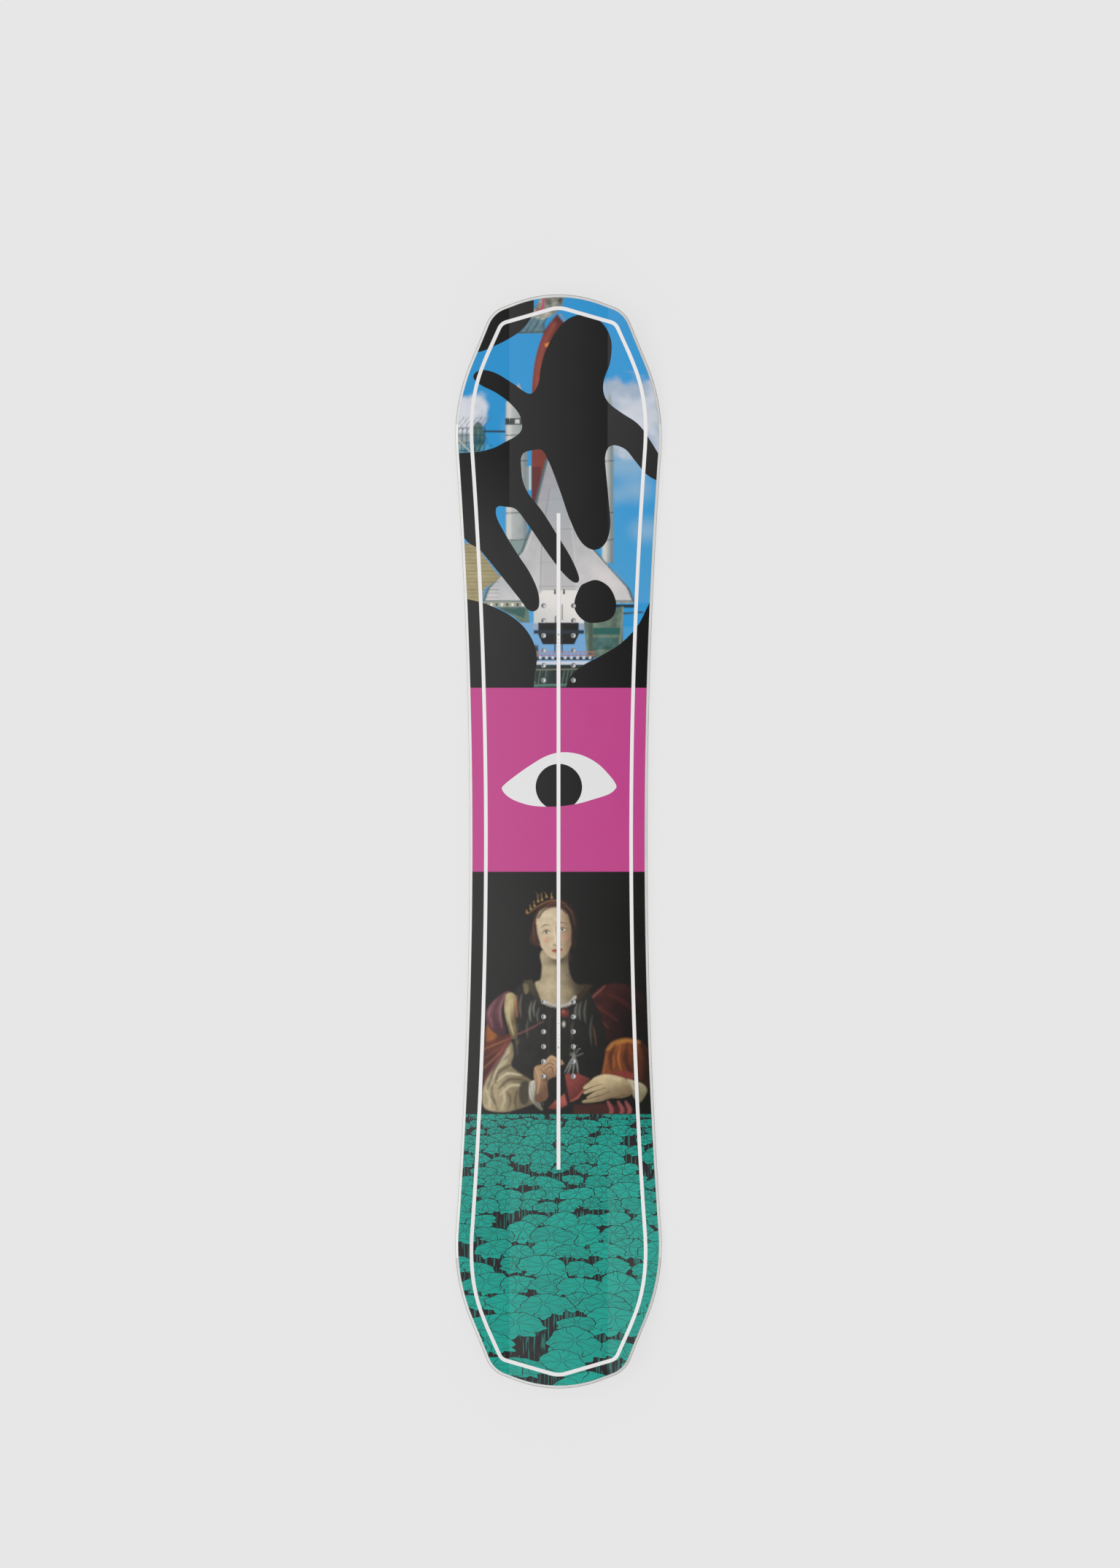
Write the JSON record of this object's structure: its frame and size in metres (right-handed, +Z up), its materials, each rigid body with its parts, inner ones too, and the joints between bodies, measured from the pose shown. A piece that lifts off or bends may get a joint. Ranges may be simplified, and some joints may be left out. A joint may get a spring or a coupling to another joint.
{
  "type": "snowboard",
  "caption": "Twin-tip snowboard without bindings: wood-core laminate with steel edges, cambered middle, raised tips and threaded binding inserts.",
  "frame": {"origin": "on the ground, on the centre line, halfway between nose and tail, with the board lying on its base", "axes": "+Y from tail to nose, +Z up from base to topsheet, +X to the right when facing the nose"},
  "size_m": [0.2776, 1.46, 0.052],
  "materials": {
    "base_polyethylene": "sintered polyethylene with a fine lengthwise stone-grind",
    "edge_steel": "ground steel",
    "damping_rubber": "thin bonded foil",
    "laminate_glass": "glass fibre set in clear epoxy",
    "core_poplar": "planed strips, grain lengthwise",
    "core_beech": "planed strips, grain lengthwise",
    "core_paulownia": "planed strips, grain lengthwise",
    "sidewall_plastic": "white, machined bevel",
    "spacer_plastic": "white",
    "insert_mat_glass": "glass fibre patch",
    "insert_steel": "turned steel, bright",
    "topsheet_print": "satin lacquer over a four-panel print"
  },
  "bodies": {
    "root": {"base_sheet": "base_polyethylene", "core_beech_insert_left": "core_beech", "core_beech_insert_right": "core_beech", "core_paulownia_inner_left": "core_paulownia", "core_paulownia_inner_right": "core_paulownia", "core_paulownia_outer_left": "core_paulownia", "core_paulownia_outer_right": "core_paulownia", "core_poplar_centre": "core_poplar", "core_poplar_inner_left": "core_poplar", "core_poplar_inner_right": "core_poplar", "core_poplar_outer_left": "core_poplar", "core_poplar_outer_right": "core_poplar", "damping_foil_left": "damping_rubber", "damping_foil_right": "damping_rubber", "lower_laminate": "laminate_glass", "nose_foot_insert_mat": "insert_mat_glass", "nose_foot_inserts": "insert_steel", "nose_spacer": "spacer_plastic", "sidewall_left": "sidewall_plastic", "sidewall_right": "sidewall_plastic", "steel_edge_left": "edge_steel", "steel_edge_right": "edge_steel", "tail_foot_insert_mat": "insert_mat_glass", "tail_foot_inserts": "insert_steel", "tail_spacer": "spacer_plastic", "topsheet": "topsheet_print", "upper_laminate": "laminate_glass"}
  },
  "joints": []
}
